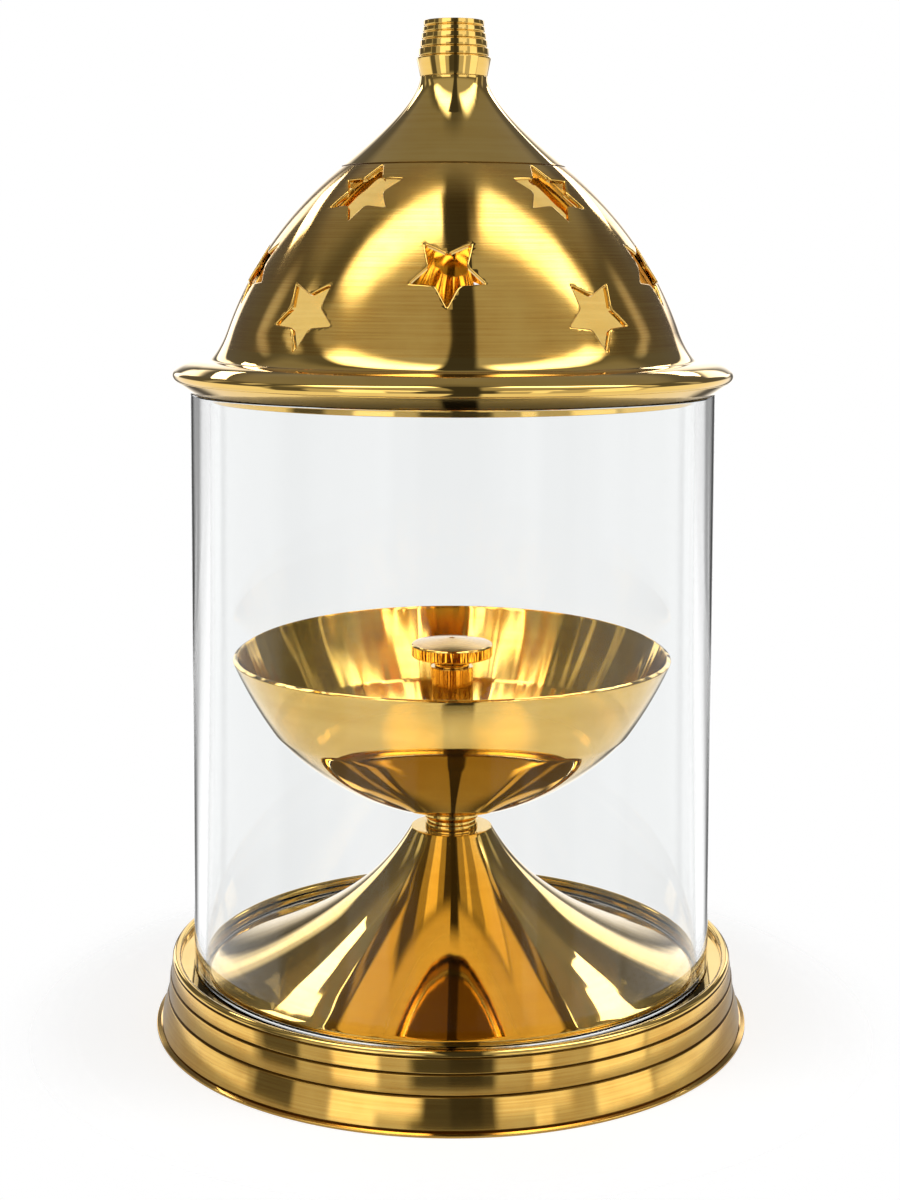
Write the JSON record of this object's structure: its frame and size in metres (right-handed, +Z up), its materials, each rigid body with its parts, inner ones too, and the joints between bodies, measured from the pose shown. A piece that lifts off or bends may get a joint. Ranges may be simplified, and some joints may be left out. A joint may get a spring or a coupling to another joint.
{
  "type": "akhand diya oil lamp",
  "caption": "Brass oil lamp: a stepped base and trumpet pedestal carry a screwed-on bowl with a wick post and cap, inside a lift-off glass chimney under a star-pierced dome lid with a vent.",
  "frame": {"origin": "centre of the resting face under the base, on the lamp's axis", "axes": "+Z up along the lamp's axis, front towards -Y (the side with a star in the middle row facing the viewer)"},
  "size_m": [0.1146, 0.1146, 0.192],
  "materials": {
    "polished_brass": "mirror polished",
    "brushed_brass": "polished with fine turned lines",
    "clear_glass": "clear, fire-polished edges",
    "steel": "plain zinc-plated",
    "fibre": "matt vulcanised fibre"
  },
  "bodies": {
    "base": {"base_skirt": "brushed_brass", "pedestal_cone": "polished_brass", "pedestal_nut": "steel"},
    "washer": {"bowl_washer": "polished_brass"},
    "bowl": {"oil_bowl": "polished_brass", "foot_ring": "polished_brass", "sealing_washer": "fibre", "wick_post": "polished_brass"},
    "cap": {"wick_cap": "polished_brass"},
    "glass": {"glass_chimney": "clear_glass"},
    "lid": {"lid_dome": "brushed_brass", "lid_crown": "polished_brass", "lid_collar": "polished_brass", "vent_nozzle": "polished_brass"}
  },
  "joints": [
    {"name": "glass_lift", "type": "slide", "parent": "base", "child": "glass", "axis": [0, 0, 1], "range_m": [0, 0.07]},
    {"name": "lid_lift", "type": "slide", "parent": "glass", "child": "lid", "axis": [0, 0, 1], "range_m": [0, 0.05]},
    {"name": "bowl_turn", "type": "hinge", "parent": "base", "child": "washer", "pos_m": [0, 0, 0.0377], "axis": [0, 0, 1], "range_deg": [0, 2160]},
    {"name": "bowl_rise", "type": "slide", "parent": "washer", "child": "bowl", "axis": [0, 0, 1], "range_m": [0, 0.0061]},
    {"name": "cap_lift", "type": "slide", "parent": "bowl", "child": "cap", "axis": [0, 0, 1], "range_m": [0, 0.012]}
  ],
  "couplings": [
    {"joint": "bowl_rise", "follows": "bowl_turn", "m_per_rad": 0.00015915}
  ]
}
